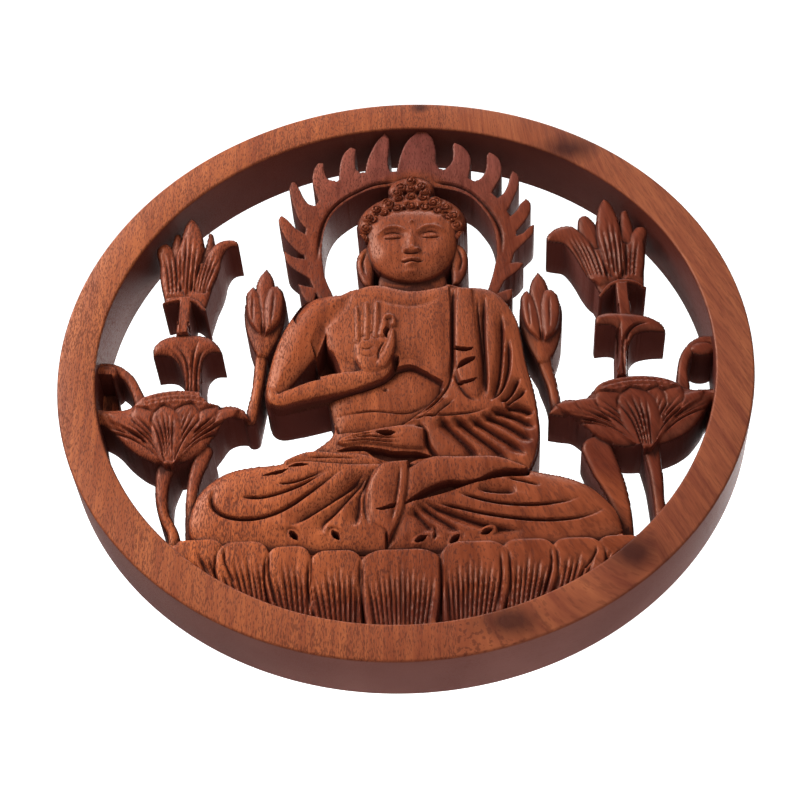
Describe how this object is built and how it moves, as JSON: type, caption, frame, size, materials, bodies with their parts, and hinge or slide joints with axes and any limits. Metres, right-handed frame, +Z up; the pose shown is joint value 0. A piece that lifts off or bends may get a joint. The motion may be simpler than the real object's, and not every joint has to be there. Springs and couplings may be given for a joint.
{
  "type": "carved wall panel",
  "caption": "Round pierced wood relief for a wall: a seated figure with a flame halo between lotus plants, in a plain ring, carved from one board.",
  "frame": {"origin": "middle of the flat back, where the panel lies against the wall", "axes": "+Z up the wall, +X to the right seen from the front, the carved front faces -Y"},
  "size_m": [0.3, 0.027, 0.3],
  "materials": {
    "carved_wood": "waxed reddish brown hardwood, satin, dark in the cuts"
  },
  "bodies": {
    "root": {"carved_panel": "carved_wood"}
  },
  "joints": []
}
